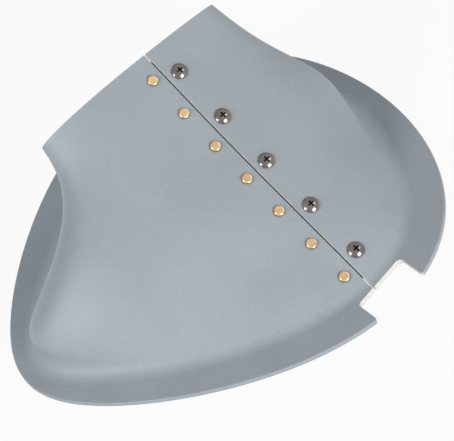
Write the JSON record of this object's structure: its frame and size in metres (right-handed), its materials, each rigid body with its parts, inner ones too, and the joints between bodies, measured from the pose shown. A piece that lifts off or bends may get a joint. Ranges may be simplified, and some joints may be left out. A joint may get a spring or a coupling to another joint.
{
  "type": "wing strut cuff",
  "caption": "Moulded fairing that closes the joint between a lift strut and the lower skin of a high wing, split along one seam and closed with rivets and screws.",
  "frame": {"origin": "middle of the flange's seat on the wing skin", "axes": "+Z away from the wing skin, +X ahead towards the leading edge, +Y outboard; the strut leaves towards -Y and +Z"},
  "size_m": [0.2736, 0.2888, 0.1026],
  "materials": {
    "shell": "satin",
    "strip": "satin",
    "rivet": "gold conversion coat",
    "screw": "plated",
    "nut": "plated",
    "nut_rivet": "plain"
  },
  "bodies": {
    "root": {"cuff_shell": "shell", "splice_strip": "strip", "rivet_1": "rivet", "rivet_2": "rivet", "rivet_3": "rivet", "rivet_4": "rivet", "rivet_5": "rivet", "rivet_6": "rivet", "rivet_7": "rivet", "screw_1": "screw", "screw_2": "screw", "screw_3": "screw", "screw_4": "screw", "screw_5": "screw", "anchor_nut_1": "nut", "anchor_nut_2": "nut", "anchor_nut_3": "nut", "anchor_nut_4": "nut", "anchor_nut_5": "nut", "nut_rivet_1": "nut_rivet", "nut_rivet_2": "nut_rivet", "nut_rivet_3": "nut_rivet", "nut_rivet_4": "nut_rivet", "nut_rivet_5": "nut_rivet", "nut_rivet_6": "nut_rivet", "nut_rivet_7": "nut_rivet", "nut_rivet_8": "nut_rivet", "nut_rivet_9": "nut_rivet", "nut_rivet_10": "nut_rivet"}
  },
  "joints": []
}
